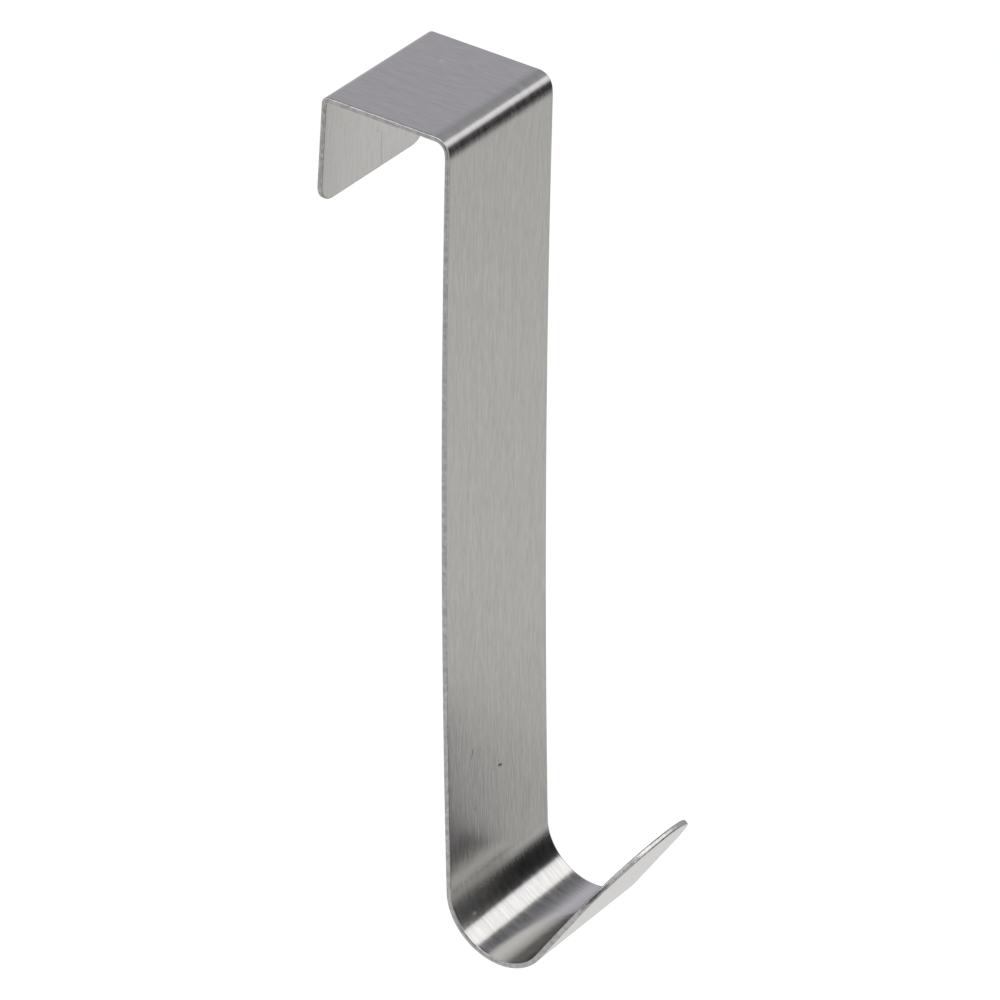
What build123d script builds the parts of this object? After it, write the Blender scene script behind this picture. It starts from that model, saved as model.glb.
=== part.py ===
# Over-door hook: one strip of steel sheet, folded over a door's top edge and curled up at its foot.
# Millimetres. The door's top edge sits against the origin, in the middle of the gap for the door.
# X runs across the strip, -Y points away from the door on the hook's side, and +Z is up.
from build123d import *
import math
import os

# The sheet
strip_width = 45.0
sheet_thickness = 1.5
edge_round = 0.2  # radius along the sheared edges

# The saddle that sits on the door, with inside radii
door_gap = 38.0
front_bend_radius = 3.0
front_bend_angle = 91.5  # past square, so the leg leans to the door at its top
back_bend_radius = 1.0
back_bend_angle = 85.8  # short of square, so the lip flares away from the door
lip_length = 30.5  # straight run below the back bend
lip_corner_radius = 5.5

# The long leg, bowed towards the door
leg_length = 229.0  # along the bow
leg_bow_angle = 2.7  # how far the leg turns outwards from its top to its foot

# The hook at the leg's foot
hook_radius = 15.5  # inside the curl
hook_angle = 145.0
tongue_length = 23.0  # straight run from the curl to where the round end starts

# What follows from those sizes
tongue_end_radius = strip_width / 2
bow_radius = leg_length / math.radians(leg_bow_angle)  # at the middle of the sheet
seat_front = -door_gap / 2 + front_bend_radius
seat_back = door_gap / 2 - back_bend_radius
corner_angle = 45  # faces that meet at more than this have a sheared edge between them


def follow(start, heading, runs):
    """Lines and arcs laid end to end, each tangent to the last: (length, 0) or (radius, turn)."""
    edges = []
    for size, turn in runs:
        if turn == 0:
            edge = PolarLine(start, size, direction=heading)
        else:
            edge = JernArc(start, heading, size, turn)
        edges.append(edge)
        start = edge @ 1
        heading = edge % 1
    return edges


def front_side(height):
    """One face of the leg, hook and tongue, from the seat outwards. Height is that face's at the seat."""
    runs = [
        (front_bend_radius + height, front_bend_angle),
        (bow_radius + sheet_thickness / 2 - height, -leg_bow_angle),
        (hook_radius + sheet_thickness - height, -hook_angle),
        (tongue_length, 0),
    ]
    return follow((seat_front, height), (-1, 0), runs)


def back_side(height):
    """One face of the lip, from the seat outwards."""
    runs = [(back_bend_radius + height, -back_bend_angle), (lip_length, 0)]
    return follow((seat_back, height), (1, 0), runs)


def folded_strip():
    """The strip with square ends: the sheet's section in the YZ plane, carried across the width."""
    faces = []
    for height in (0, sheet_thickness):
        seat = Line((seat_front, height), (seat_back, height))
        faces.append((front_side(height), back_side(height), seat))
    (under_front, under_back, under_seat), (upper_front, upper_back, upper_seat) = faces
    tongue_end = Line(under_front[-1] @ 1, upper_front[-1] @ 1)
    lip_end = Line(under_back[-1] @ 1, upper_back[-1] @ 1)
    outline = under_front + under_back + upper_front + upper_back
    section = make_face(outline + [under_seat, upper_seat, tongue_end, lip_end])
    return extrude(Plane.YZ * section, amount=strip_width / 2, both=True)


def tongue_tip():
    """Half a disc that rounds off the tongue, in the plane of the tongue's sheet."""
    upper = front_side(sheet_thickness)[-1]
    under = front_side(0)[-1]
    centre = (upper @ 1 + under @ 1) / 2
    along = upper % 1
    sheet = Plane(
        origin=(0, centre.X, centre.Y),
        x_dir=(1, 0, 0),
        z_dir=Vector(1, 0, 0).cross(Vector(0, along.X, along.Y)),
    )
    ahead = (Align.CENTER, Align.MIN)
    half = Circle(tongue_end_radius) & Rectangle(strip_width, tongue_end_radius, align=ahead)
    return extrude(sheet * half, amount=sheet_thickness / 2, both=True)


def lip_corners(strip):
    """The two short edges through the sheet at the lip's free end."""
    end = (back_side(0)[-1] @ 1 + back_side(sheet_thickness)[-1] @ 1) / 2
    places = [Vector(side * strip_width / 2, end.X, end.Y) for side in (-1, 1)]
    return [strip.edges().sort_by_distance(place)[0] for place in places]


def sheared_edges(strip):
    """The rim of both faces, where two faces meet at a corner. Along the fold lines they run on smoothly."""
    rim = []
    for edge in strip.edges():
        beside = [face for face in strip.faces() if any(edge.is_same(e) for e in face.edges())]
        one, other = [face.normal_at(edge @ 0.5) for face in beside]
        if one.get_angle(other) > corner_angle:
            rim.append(edge)
    return rim


strip = folded_strip() + tongue_tip()
strip = fillet(lip_corners(strip), lip_corner_radius)
strip = fillet(sheared_edges(strip), edge_round)

os.makedirs("parts", exist_ok=True)
export_step(strip, "parts/hook_strip.step")
print("hook strip", round(strip.volume), "mm3,", strip.bounding_box().size)
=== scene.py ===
import math

import bmesh
import bpy
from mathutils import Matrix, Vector


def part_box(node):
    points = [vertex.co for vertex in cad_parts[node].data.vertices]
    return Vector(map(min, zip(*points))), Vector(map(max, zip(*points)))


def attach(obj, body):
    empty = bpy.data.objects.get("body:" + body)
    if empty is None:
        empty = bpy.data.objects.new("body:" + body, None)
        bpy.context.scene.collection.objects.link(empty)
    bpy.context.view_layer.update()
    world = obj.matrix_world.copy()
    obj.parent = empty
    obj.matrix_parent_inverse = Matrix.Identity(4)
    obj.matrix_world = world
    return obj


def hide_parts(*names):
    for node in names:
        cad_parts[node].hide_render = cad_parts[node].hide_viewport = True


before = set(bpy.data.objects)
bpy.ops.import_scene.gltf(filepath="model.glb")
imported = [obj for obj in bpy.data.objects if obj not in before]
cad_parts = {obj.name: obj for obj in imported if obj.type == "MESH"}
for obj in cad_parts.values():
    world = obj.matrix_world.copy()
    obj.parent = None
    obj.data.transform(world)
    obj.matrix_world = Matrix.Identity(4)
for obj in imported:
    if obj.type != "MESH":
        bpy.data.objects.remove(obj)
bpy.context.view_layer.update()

print("frame loaded:", sorted(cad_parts))


# the strip, in metres and degrees

lowCorner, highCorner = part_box("hook_strip")
strip = {
    "width": highCorner.x - lowCorner.x,
    "thickness": highCorner.z,        # the seat's underside is at the origin
    "columns": 20,
    "seatRows": 6,
    "doorGap": 0.038,
    "frontRadius": 0.003,             # inside radii
    "frontAngle": 91.5,
    "frontSteps": 24,
    "easeRadius": 0.018,              # the front bend springs back a little and eases into the leg
    "easeAngle": 8.0,
    "easeSteps": 8,
    "legLength": 0.229,
    "legBow": 2.7,
    "legSteps": 36,
    "hookRadius": 0.0155,
    "hookAngle": 145.0,
    "hookSteps": 72,
    "tongueLength": 0.023,            # straight run before the round end
    "tongueSteps": 32,                # round each half of that end
    "backRadius": 0.001,
    "backAngle": 85.8,
    "backSteps": 18,
    "lipLength": 0.0305,
    "lipCorner": 0.0055,
    "lipSteps": 10,                   # round each corner
    "edgeRound": 0.00045,
    "edgeSteps": 5,
    "edgeAngle": 50.0,                # only corners sharper than this are rounded
}
halfSheet = strip["thickness"] / 2
rowGap = 1.5e-5                       # verts this near to a place belong to its row
weldGap = 1e-6                        # verts this near to each other are one


def deselectAll():
    if bpy.context.object and bpy.context.object.mode == "EDIT":
        bpy.ops.object.mode_set(mode="OBJECT")
    bpy.ops.object.select_all(action="DESELECT")


def onRow(vert, place):
    return (vert.co.yz - place).length < rowGap


def pick(kind, wanted):
    # select the wanted edges or verts, and nothing else
    bpy.ops.mesh.select_all(action="DESELECT")
    bpy.ops.mesh.select_mode(type=kind)
    bm = bmesh.from_edit_mesh(bpy.context.object.data)
    for part in bm.edges if kind == "EDGE" else bm.verts:
        if wanted(part):
            part.select_set(True)
    bmesh.update_edit_mesh(bpy.context.object.data)


def pickRow(place):
    pick("EDGE", lambda e: all(onRow(v, place) for v in e.verts))


# a walker carries the end row of the sheet along: where it is, its heading and its distance from the seat

def noteRow(walker):
    ahead = Vector((math.cos(walker["heading"]), math.sin(walker["heading"])))
    walker["rows"].append((walker["place"].copy(), ahead * walker["sense"], walker["along"]))


def bendOn(walker, radius, turn, steps):
    # spin the end row about an axis beside it, on the side that it turns to
    heading, angle = walker["heading"], math.radians(turn)
    side = math.copysign(1, angle)
    centre = walker["place"] + side * radius * Vector((-math.sin(heading), math.cos(heading)))
    pickRow(walker["place"])
    bpy.ops.mesh.spin(steps=steps, angle=angle, center=(0, *centre), axis=(-1, 0, 0))
    for k in range(steps):
        walker["heading"] = heading + angle * (k + 1) / steps
        outward = Vector((math.sin(walker["heading"]), -math.cos(walker["heading"])))
        walker["place"] = centre + side * radius * outward
        walker["along"] += radius * abs(angle) / steps * walker["sense"]
        noteRow(walker)


def endOn(walker, length, radius, steps):
    # extrude the end row straight on, clear the columns from that flat, and round its two free corners
    start, heading = walker["place"].copy(), walker["heading"]
    pickRow(start)
    move = (0, length * math.cos(heading), length * math.sin(heading))
    bpy.ops.mesh.extrude_region_move(TRANSFORM_OT_translate={"value": move})
    walker["place"] = start + Vector(move).yz
    walker["along"] += length * walker["sense"]
    noteRow(walker)
    end, inside = walker["place"], strip["width"] / 2 - rowGap

    def innerColumn(e):
        a, b = e.verts
        ends = (onRow(a, start) and onRow(b, end)) or (onRow(b, start) and onRow(a, end))
        return ends and abs(a.co.x) < inside

    pick("EDGE", innerColumn)
    bpy.ops.mesh.dissolve_edges(use_verts=True)
    pick("VERT", lambda v: onRow(v, end))
    bpy.ops.mesh.bevel(offset=radius, segments=steps, profile=0.5, affect="VERTICES", clamp_overlap=False)


def easedBend():
    # a tighter radius and a shorter leg, so that the easing leaves the leg and the hook where they are
    radius, ease = strip["frontRadius"] + halfSheet, strip["easeRadius"]
    whole = math.radians(strip["frontAngle"])
    tight = math.radians(strip["frontAngle"] - strip["easeAngle"])
    tightRadius = (radius * math.sin(whole) - ease * (math.sin(whole) - math.sin(tight))) / math.sin(tight)
    drop = tightRadius * (1 - math.cos(tight)) + ease * (math.cos(tight) - math.cos(whole))
    return tightRadius, strip["legLength"] - (drop - radius * (1 - math.cos(whole)))


def makeStrip():
    seatFront = -strip["doorGap"] / 2 + strip["frontRadius"]
    seatBack = strip["doorGap"] / 2 - strip["backRadius"]
    seatMiddle = (0, (seatFront + seatBack) / 2, halfSheet)

    # the seat: a grid at the middle of the sheet
    deselectAll()
    bpy.ops.mesh.primitive_grid_add(x_subdivisions=strip["columns"], y_subdivisions=strip["seatRows"],
                                    size=1, location=seatMiddle)
    piece = bpy.context.object
    piece.name = piece.data.name = "brushed_hook"
    bpy.ops.object.transform_apply(location=True, rotation=False, scale=False)
    bpy.ops.object.mode_set(mode="EDIT")
    bpy.ops.mesh.select_all(action="SELECT")
    bpy.ops.transform.resize(value=(strip["width"], seatBack - seatFront, 1), center_override=seatMiddle)
    rows = []
    for k in range(strip["seatRows"] + 1):
        y = seatBack + (seatFront - seatBack) * k / strip["seatRows"]
        rows.append((Vector((y, halfSheet)), Vector((-1, 0)), seatBack - y))

    # the leg, the hook and the tongue, from the seat's front
    front = {"place": Vector((seatFront, halfSheet)), "heading": math.pi, "along": seatBack - seatFront,
             "sense": 1, "rows": rows}
    tightRadius, legLength = easedBend()
    tipRadius = strip["width"] / 2
    bendOn(front, tightRadius, strip["frontAngle"] - strip["easeAngle"], strip["frontSteps"])
    bendOn(front, strip["easeRadius"], strip["easeAngle"], strip["easeSteps"])
    bendOn(front, legLength / math.radians(strip["legBow"]), -strip["legBow"], strip["legSteps"])
    bendOn(front, strip["hookRadius"] + halfSheet, -strip["hookAngle"], strip["hookSteps"])
    endOn(front, strip["tongueLength"] + tipRadius, tipRadius, strip["tongueSteps"])

    # the lip, from the seat's back
    back = {"place": Vector((seatBack, halfSheet)), "heading": 0.0, "along": 0.0, "sense": -1, "rows": rows}
    bendOn(back, strip["backRadius"] + halfSheet, -strip["backAngle"], strip["backSteps"])
    endOn(back, strip["lipLength"], strip["lipCorner"], strip["lipSteps"])

    bpy.ops.mesh.select_all(action="SELECT")
    bpy.ops.mesh.remove_doubles(threshold=weldGap)
    bpy.ops.mesh.normals_make_consistent(inside=False)
    bpy.ops.object.mode_set(mode="OBJECT")
    return piece, rows


def layFlat(piece, rows):
    # a flat map of the strip in metres: u across it, v along it from the seat's back edge
    flat = piece.data.uv_layers.new(name="alongStrip")
    along = {}
    for v in piece.data.vertices:
        here = v.co.yz
        place, ahead, distance = min(rows, key=lambda row: (row[0] - here).length_squared)
        along[v.index] = distance + (here - place).dot(ahead)
    for loop in piece.data.loops:
        flat.data[loop.index].uv = (piece.data.vertices[loop.vertex_index].co.x, along[loop.vertex_index])


def thicken(piece):
    deselectAll()
    piece.select_set(True)
    bpy.context.view_layer.objects.active = piece
    bpy.ops.object.shade_smooth()
    faceCount = len(piece.data.polygons)
    solid = piece.modifiers.new("sheet", "SOLIDIFY")
    solid.thickness = strip["thickness"]
    solid.offset = 0
    solid.use_even_offset = True
    solid.use_quality_normals = True
    solid.material_offset_rim = 1     # materials: back, edge, front
    solid.material_offset = 2
    bpy.ops.object.modifier_apply(modifier="sheet")

    # the front gets its own part of the map, so its lines and marks differ from the back's
    flat = piece.data.uv_layers["alongStrip"]
    for face in piece.data.polygons[faceCount:2 * faceCount]:
        for loop in face.loop_indices:
            flat.data[loop].uv.x += frontFace["side"]

    bevel = piece.modifiers.new("shearedEdge", "BEVEL")
    bevel.width = strip["edgeRound"]
    bevel.segments = strip["edgeSteps"]
    bevel.material = 1
    bevel.limit_method = "ANGLE"
    bevel.angle_limit = math.radians(strip["edgeAngle"])
    weigh = piece.modifiers.new("faceNormals", "WEIGHTED_NORMAL")
    weigh.weight = 100                # the large faces stay flat
    for modifier in ("shearedEdge", "faceNormals"):
        bpy.ops.object.modifier_apply(modifier=modifier)


# the finish

steel = {
    "roughness": (0.20, 0.25),        # from line to line
    "anisotropy": 0.7,
    "grazing": (0.9, 0.9, 0.9, 1),    # a little less bright at a low angle
    "lines": (1080.0, 175.0, 1.0),    # brush lines to a metre, across the strip and along it
    "streaks": (500.0, 40.0, 1.0),    # broader ones
    "streakShare": 0.4,
    "lineDepth": 1.05e-5,
    "paintedEdgeShadeWidth": 0.0009,            # painted shade: a darker line just inside the sheared edges
    "worked": [                       # the front bend and the curl's start: place, reach, how much rougher
        (0.0359, 0.0041, 0.18),
        (0.2715, 0.0050, 0.09),
    ],
}
frontFace = {
    "name": "brushedFront",
    "side": 1.0,                      # where this face lies on the flat map
    "colours": ((0.345, 0.341, 0.326, 1), (0.422, 0.416, 0.398, 1)),
    # the colour of the painted shade beside the sheared edges
    "paintedEdgeShade": (0.336, 0.336, 0.346, 1),
    "marks": [                        # from and to on the strip, half width, how strong, colour
        # the trough, worn bright
        ((-0.0225, 0.2934), (0.0225, 0.2934), 0.0057, 0.85, (0.586, 0.579, 0.554, 1)),
        # dark specks and a scratch
        ((0.00035, 0.23918), (0.00135, 0.23966), 0.0007, 0.95, (0.03, 0.03, 0.03, 1)),
        ((-0.01122, 0.22807), (-0.01189, 0.23034), 0.0004, 0.65, (0.08, 0.08, 0.08, 1)),
        ((-0.01069, 0.24737), (-0.01069, 0.24737), 0.0008, 0.4, (0.10, 0.10, 0.10, 1)),
        # light dents
        ((-0.01600, 0.27892), (-0.01530, 0.27892), 0.0008, 0.7, (0.95, 0.95, 0.93, 1)),
        ((0.00467, 0.03920), (0.00467, 0.03920), 0.0007, 0.7, (0.95, 0.95, 0.93, 1)),
        ((0.01078, 0.01120), (0.01078, 0.01120), 0.0010, 0.35, (0.6, 0.6, 0.6, 1)),
    ],
}
backFace = {
    "name": "brushedBack",
    "side": 0.0,
    "colours": ((0.415, 0.406, 0.391, 1), (0.489, 0.478, 0.463, 1)),
    # the colour of the painted shade beside the sheared edges
    "paintedEdgeShade": (0.38, 0.38, 0.38, 1),
    "marks": [                        # a long scratch and a speck inside the lip
        ((0.00269, -0.02206), (0.00353, -0.03243), 0.00025, 0.5, (0.20, 0.19, 0.18, 1)),
        ((0.00093, -0.02100), (0.00093, -0.02100), 0.0004, 0.6, (0.12, 0.12, 0.12, 1)),
    ],
}
edge = {
    "colours": ((0.30, 0.30, 0.29, 1), (0.47, 0.46, 0.45, 1)),
    "roughness": 0.35,
    "grazing": (0.5, 0.5, 0.5, 1),    # torn metal doesn't brighten much towards the outline
    "grain": 700.0,                   # torn grains to a metre
    "grainDepth": 5e-5,
}
noiseSpan = {"From Min": 0.3, "From Max": 0.7}     # where most of a noise lies, spread out over 0 to 1


def newMaterial(name):
    material = bpy.data.materials.new(name)
    material.use_nodes = True
    return material, material.node_tree, material.node_tree.nodes["Principled BSDF"]


def newGroup(name, inputs, output):
    group = bpy.data.node_groups.new(name, "ShaderNodeTree")
    for socket, kind in inputs.items():
        group.interface.new_socket(socket, in_out="INPUT", socket_type=kind)
    group.interface.new_socket(output, in_out="OUTPUT", socket_type="NodeSocketFloat")
    return group, group.nodes.new("NodeGroupInput"), group.nodes.new("NodeGroupOutput")


def addNode(tree, kind, values=None, **settings):
    node = tree.nodes.new(kind)
    for setting, value in settings.items():
        setattr(node, setting, value)
    for socket, value in (values or {}).items():
        node.inputs[socket].default_value = value
    return node


def brushGroup():
    # lines drawn out along the strip, 0 to 1
    sockets = {"Place": "NodeSocketVector", "Lines": "NodeSocketVector"}
    group, given, result = newGroup("brushLines", sockets, "Height")
    spread = addNode(group, "ShaderNodeVectorMath", operation="MULTIPLY")
    noise = addNode(group, "ShaderNodeTexNoise", {"Scale": 1, "Detail": 2, "Roughness": 0.6},
                    noise_dimensions="2D")
    stretch = addNode(group, "ShaderNodeMapRange", noiseSpan)
    link = group.links.new
    link(given.outputs["Place"], spread.inputs[0])
    link(given.outputs["Lines"], spread.inputs[1])
    link(spread.outputs["Vector"], noise.inputs["Vector"])
    link(noise.outputs["Fac"], stretch.inputs["Value"])
    link(stretch.outputs["Result"], result.inputs["Height"])
    return group


def markGroup():
    # 1 on the line between two places on the flat map, 0 further from it than its half width
    sockets = {"Place": "NodeSocketVector", "From": "NodeSocketVector", "To": "NodeSocketVector",
               "Half Width": "NodeSocketFloat"}
    group, given, result = newGroup("mark", sockets, "Mask")
    here = addNode(group, "ShaderNodeVectorMath", operation="SUBTRACT")
    run = addNode(group, "ShaderNodeVectorMath", operation="SUBTRACT")
    reach = addNode(group, "ShaderNodeVectorMath", operation="DOT_PRODUCT")
    whole = addNode(group, "ShaderNodeVectorMath", operation="DOT_PRODUCT")
    share = addNode(group, "ShaderNodeMath", operation="DIVIDE", use_clamp=True)
    nearest = addNode(group, "ShaderNodeVectorMath", operation="SCALE")
    off = addNode(group, "ShaderNodeVectorMath", operation="DISTANCE")
    fade = addNode(group, "ShaderNodeMapRange", {"From Min": 0, "To Min": 1, "To Max": 0},
                   interpolation_type="SMOOTHSTEP")
    link = group.links.new
    link(given.outputs["Place"], here.inputs[0])
    link(given.outputs["From"], here.inputs[1])
    link(given.outputs["To"], run.inputs[0])
    link(given.outputs["From"], run.inputs[1])
    link(here.outputs["Vector"], reach.inputs[0])
    link(run.outputs["Vector"], reach.inputs[1])
    link(run.outputs["Vector"], whole.inputs[0])
    link(run.outputs["Vector"], whole.inputs[1])
    link(reach.outputs["Value"], share.inputs[0])
    link(whole.outputs["Value"], share.inputs[1])
    link(run.outputs["Vector"], nearest.inputs[0])
    link(share.outputs["Value"], nearest.inputs["Scale"])
    link(here.outputs["Vector"], off.inputs[0])
    link(nearest.outputs["Vector"], off.inputs[1])
    link(off.outputs["Value"], fade.inputs["Value"])
    link(given.outputs["Half Width"], fade.inputs["From Max"])
    link(fade.outputs["Result"], result.inputs["Mask"])
    return group


def mixColours(tree, share, first, second):
    # a colour or a socket on either side, mixed by a value socket
    mix = addNode(tree, "ShaderNodeMix", data_type="RGBA")
    tree.links.new(share, mix.inputs[0])
    for socket, colour in ((6, first), (7, second)):       # a mix node's colour sockets
        if isinstance(colour, tuple):
            mix.inputs[socket].default_value = colour
        else:
            tree.links.new(colour, mix.inputs[socket])
    return mix.outputs[2]


def scaled(tree, value, factor):
    times = addNode(tree, "ShaderNodeMath", {1: factor}, operation="MULTIPLY")
    tree.links.new(value, times.inputs[0])
    return times.outputs["Value"]


def brushedSteel(face):
    material, tree, shader = newMaterial(face["name"])
    link = tree.links.new
    flat = addNode(tree, "ShaderNodeUVMap", uv_map="alongStrip").outputs["UV"]
    lines = addNode(tree, "ShaderNodeGroup", node_tree=brushLines, values={"Lines": steel["lines"]})
    streaks = addNode(tree, "ShaderNodeGroup", node_tree=brushLines, values={"Lines": steel["streaks"]})
    link(flat, lines.inputs["Place"])
    link(flat, streaks.inputs["Place"])
    both = addNode(tree, "ShaderNodeMix", {0: steel["streakShare"]}, data_type="FLOAT")
    link(lines.outputs["Height"], both.inputs[2])
    link(streaks.outputs["Height"], both.inputs[3])
    colour = mixColours(tree, both.outputs[0], *face["colours"])

    # painted shade: the dark line beside the sheared edges
    half = strip["width"] / 2
    split = addNode(tree, "ShaderNodeSeparateXYZ")
    middle = addNode(tree, "ShaderNodeMath", {1: face["side"]}, operation="SUBTRACT")
    fromMiddle = addNode(tree, "ShaderNodeMath", operation="ABSOLUTE")
    paintedEdgeShade = addNode(tree, "ShaderNodeMapRange",
                     {"From Min": half - steel["paintedEdgeShadeWidth"], "From Max": half})
    link(flat, split.inputs["Vector"])
    link(split.outputs["X"], middle.inputs[0])
    link(middle.outputs["Value"], fromMiddle.inputs[0])
    link(fromMiddle.outputs["Value"], paintedEdgeShade.inputs["Value"])
    colour = mixColours(tree, paintedEdgeShade.outputs["Result"], colour, face["paintedEdgeShade"])

    def markMask(start, end, halfWidth):
        ends = [(u + face["side"], v, 0) for u, v in (start, end)]
        mark = addNode(tree, "ShaderNodeGroup", node_tree=marks,
                       values={"From": ends[0], "To": ends[1], "Half Width": halfWidth})
        link(flat, mark.inputs["Place"])
        return mark.outputs["Mask"]

    for start, end, halfWidth, strength, tint in face["marks"]:
        colour = mixColours(tree, scaled(tree, markMask(start, end, halfWidth), strength), colour, tint)
    link(colour, shader.inputs["Base Color"])

    # how rough it is, and rougher where the sheet was worked
    smoothest, roughest = steel["roughness"]
    rough = addNode(tree, "ShaderNodeMapRange", {"To Min": smoothest, "To Max": roughest})
    link(both.outputs[0], rough.inputs["Value"])
    roughness = rough.outputs["Result"]
    for along, reach, extra in steel["worked"]:
        more = addNode(tree, "ShaderNodeMath", {1: extra}, operation="MULTIPLY_ADD")
        link(markMask((-half, along), (half, along), reach), more.inputs[0])
        link(roughness, more.inputs[2])
        roughness = more.outputs["Value"]
    link(roughness, shader.inputs["Roughness"])

    bump = addNode(tree, "ShaderNodeBump", {"Distance": steel["lineDepth"]})
    link(lines.outputs["Height"], bump.inputs["Height"])
    link(bump.outputs["Normal"], shader.inputs["Normal"])
    tangent = addNode(tree, "ShaderNodeTangent", direction_type="UV_MAP", uv_map="alongStrip")
    link(tangent.outputs["Tangent"], shader.inputs["Tangent"])
    shader.inputs["Metallic"].default_value = 1
    shader.inputs["Anisotropic"].default_value = steel["anisotropy"]
    shader.inputs["Specular Tint"].default_value = steel["grazing"]
    return material


def shearedEdge():
    material, tree, shader = newMaterial("shearedEdge")
    link = tree.links.new
    place = addNode(tree, "ShaderNodeTexCoord")
    grain = addNode(tree, "ShaderNodeTexNoise", {"Scale": edge["grain"], "Detail": 3})
    stretch = addNode(tree, "ShaderNodeMapRange", noiseSpan)
    bump = addNode(tree, "ShaderNodeBump", {"Distance": edge["grainDepth"]})
    link(place.outputs["Object"], grain.inputs["Vector"])
    link(grain.outputs["Fac"], stretch.inputs["Value"])
    link(mixColours(tree, stretch.outputs["Result"], *edge["colours"]), shader.inputs["Base Color"])
    link(stretch.outputs["Result"], bump.inputs["Height"])
    link(bump.outputs["Normal"], shader.inputs["Normal"])
    shader.inputs["Metallic"].default_value = 1
    shader.inputs["Roughness"].default_value = edge["roughness"]
    shader.inputs["Specular Tint"].default_value = edge["grazing"]
    return material


brushLines, marks = brushGroup(), markGroup()
hook, rows = makeStrip()
layFlat(hook, rows)
for finish in (brushedSteel(backFace), shearedEdge(), brushedSteel(frontFace)):
    hook.data.materials.append(finish)
thicken(hook)
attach(hook, "root")
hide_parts("hook_strip")
print("strip folded:", len(hook.data.polygons), "faces")


# the stage

stage = {
    "floorDrop": 0.54,                # the floor lies this far below the seat
    "floorRadius": 9.0,
    "floorSides": 96,
    "floorColour": (0.92, 0.92, 0.92, 1),
    "floorRoughness": 0.9,
    "glow": 0.95,                     # how much of the seen floor is plain white, the rest shows the shadow
    "white": 1.04,
}


def makeFloor():
    deselectAll()
    bpy.ops.mesh.primitive_circle_add(vertices=stage["floorSides"], radius=stage["floorRadius"],
                                      fill_type="NGON", location=(0, 0, -stage["floorDrop"]))
    floor = bpy.context.object
    floor.name = "floor"
    material, tree, shader = newMaterial("paleFloor")
    shader.inputs["Base Color"].default_value = stage["floorColour"]
    shader.inputs["Roughness"].default_value = stage["floorRoughness"]
    shader.inputs["Specular IOR Level"].default_value = 0
    white = addNode(tree, "ShaderNodeEmission", {"Strength": stage["white"]})
    path = addNode(tree, "ShaderNodeLightPath")
    share = addNode(tree, "ShaderNodeMath", {1: stage["glow"]}, operation="MULTIPLY")
    mix = addNode(tree, "ShaderNodeMixShader")
    link = tree.links.new
    seen = path.outputs["Is Camera Ray"]
    for ray in ("Is Glossy Ray", "Is Transmission Ray"):   # so the steel sees the white floor too
        either = addNode(tree, "ShaderNodeMath", operation="MAXIMUM")
        link(seen, either.inputs[0])
        link(path.outputs[ray], either.inputs[1])
        seen = either.outputs["Value"]
    link(seen, share.inputs[0])
    link(share.outputs["Value"], mix.inputs["Fac"])
    link(shader.outputs["BSDF"], mix.inputs[1])
    link(white.outputs["Emission"], mix.inputs[2])
    link(mix.outputs["Shader"], tree.nodes["Material Output"].inputs["Surface"])
    floor.data.materials.append(material)


# cards beside the picture, which only the steel sees: middle, the way they face, width and height, shade
flags = {
    "frontFlag": ((0.91, -0.662, -0.162), (0, 0.986, -0.165), (1.38, 0.752), 0.01),
    "cornerFlag": ((-0.10, -0.40, -0.3425), (0.555, 0.832, 0), (0.36, 0.385), 0.8),
    "leftFlag": ((-0.9, 0.05, -0.125), (1, 0, 0), (0.9, 0.75), 0.01),
    # a grey card lying on the floor near the hook: painted shade on the floor, which only the lower leg's
    # steel sees
    "floorShadeCard": ((0.251, -0.355, -0.53), (0, 0.001, 1), (0.302, 0.11), 0.5),
}


def facing(thing, ahead):
    thing.rotation_mode = "QUATERNION"
    thing.rotation_quaternion = Vector(ahead).to_track_quat("-Z", "Y")


def makeFlags():
    for name, (middle, ahead, size, shade) in flags.items():
        material, tree, shader = newMaterial(name)
        shader.inputs["Base Color"].default_value = (0, 0, 0, 1)
        shader.inputs["Specular IOR Level"].default_value = 0
        shader.inputs["Emission Color"].default_value = (shade, shade, shade, 1)
        shader.inputs["Emission Strength"].default_value = 1
        deselectAll()
        bpy.ops.mesh.primitive_plane_add(size=1, location=middle)
        flag = bpy.context.object
        flag.name = name
        flag.scale = (*size, 1)
        facing(flag, ahead)
        flag.data.materials.append(material)
        flag.visible_camera = flag.visible_diffuse = flag.visible_shadow = False


lamps = {
    "softbox": {"place": (0.55, -0.359, 0.1915), "ahead": (0, -0.0724, -0.9974), "size": (1.3, 0.483),
                "spread": 150, "radiance": 1.82},
    "leftFill": {"place": (-0.9, 0.3, 0.75), "ahead": (0.75, -0.2, -0.63), "size": (1.8, 1.4),
                 "spread": 180, "radiance": 1.3},
    "ceiling": {"place": (0, 0, 3.0), "ahead": (0, 0.0003, -1), "size": (2.4, 2.4),
                "spread": 180, "radiance": 1.3},
}


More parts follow.
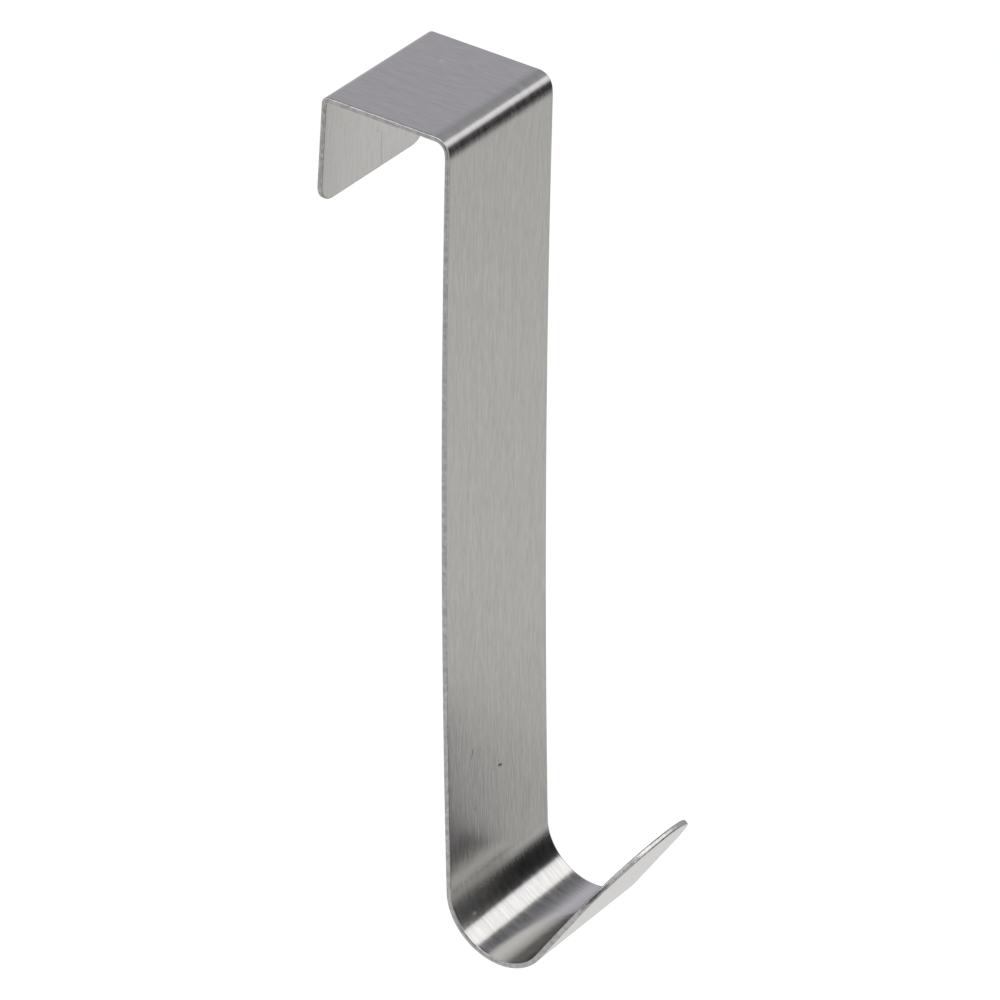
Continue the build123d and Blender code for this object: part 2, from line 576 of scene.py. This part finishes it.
def makeLamps():
    for name, lamp in lamps.items():
        deselectAll()
        bpy.ops.object.light_add(type="AREA", location=lamp["place"])
        light = bpy.context.object
        light.name = name
        light.data.shape = "RECTANGLE"
        light.data.size, light.data.size_y = lamp["size"]
        light.data.energy = lamp["radiance"] * math.pi * lamp["size"][0] * lamp["size"][1]
        light.data.spread = math.radians(lamp["spread"])
        light.visible_camera = False
        facing(light, lamp["ahead"])


# the studio's walls and ceiling: how bright they are at each height above the horizon, as its sine
sky = {
    "tint": (0.906, 0.892, 1.0),
    "levels": [(0.0, 0.99), (0.05, 0.93), (0.20, 0.91), (0.45, 0.985), (0.54, 0.975), (0.60, 0.78),
               (0.66, 0.44), (0.71, 0.2), (0.80, 0.13), (1.0, 0.11)],
}


def makeSky():
    world = bpy.data.worlds.new("studio")
    bpy.context.scene.world = world
    world.use_nodes = True
    tree = world.node_tree
    direction = addNode(tree, "ShaderNodeTexCoord")
    split = addNode(tree, "ShaderNodeSeparateXYZ")
    ramp = addNode(tree, "ShaderNodeValToRGB")
    tree.links.new(direction.outputs["Generated"], split.inputs["Vector"])
    tree.links.new(split.outputs["Z"], ramp.inputs["Fac"])
    tree.links.new(ramp.outputs["Color"], tree.nodes["Background"].inputs["Color"])
    while len(ramp.color_ramp.elements) < len(sky["levels"]):
        ramp.color_ramp.elements.new(1.0)
    for element, (height, level) in zip(ramp.color_ramp.elements, sky["levels"]):
        element.position = height
        element.color = (*(level * part for part in sky["tint"]), 1)


camera = {
    "azimuth": -53.468,
    "elevation": 32.136,
    "aim": (0.010028, -0.012536, -0.124997),
    "distance": 1.87963,
    "lens": 253.815,
    "sensor": 36.0,
}


def makeCamera():
    deselectAll()
    turn, rise = math.radians(camera["azimuth"]), math.radians(camera["elevation"])
    back = Vector((math.sin(turn) * math.cos(rise), -math.cos(turn) * math.cos(rise), math.sin(rise)))
    bpy.ops.object.camera_add(location=Vector(camera["aim"]) + back * camera["distance"])
    eye = bpy.context.object
    eye.name = "photoCamera"
    facing(eye, -back)
    eye.data.lens = camera["lens"]
    eye.data.sensor_width = camera["sensor"]
    bpy.context.scene.camera = eye


makeFloor()
makeFlags()
makeLamps()
makeSky()
makeCamera()
bpy.context.scene.view_settings.view_transform = "Standard"
print("stage set")
